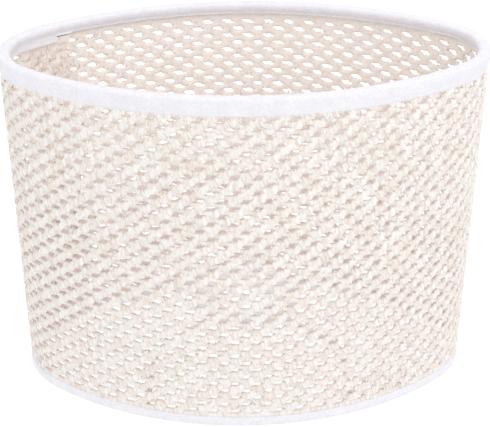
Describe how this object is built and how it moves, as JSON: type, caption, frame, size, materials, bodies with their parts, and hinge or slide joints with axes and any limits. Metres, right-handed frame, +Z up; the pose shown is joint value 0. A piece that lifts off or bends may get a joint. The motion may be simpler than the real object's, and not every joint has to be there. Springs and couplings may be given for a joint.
{
  "type": "lamp shade",
  "caption": "Oval drum lamp shade of open straw weave, its rims bound in white tape, with a wire fitter near the lower rim.",
  "frame": {"origin": "on the shade's middle axis, level with the underside of the lower rim", "axes": "+Z up along the middle axis, +X along the oval's long side, -Y towards the front; the lap seam is at the back left"},
  "size_m": [0.25, 0.15, 0.182],
  "materials": {
    "straw_weave": "matte open weave",
    "adhesive": "dried glue",
    "coated_wire": "white powder coat",
    "white_tape": "matte non-woven tape",
    "white_metal": "white powder coat"
  },
  "bodies": {
    "root": {"woven_panel": "straw_weave", "seam_adhesive": "adhesive", "upper_wire_ring": "coated_wire", "lower_wire_ring": "coated_wire", "upper_binding_tape": "white_tape", "lower_binding_tape": "white_tape", "fitter_ring": "white_metal", "fitter_arm_front_left": "coated_wire", "fitter_arm_front_right": "coated_wire", "fitter_arm_back_right": "coated_wire", "fitter_arm_back_left": "coated_wire"}
  },
  "joints": []
}
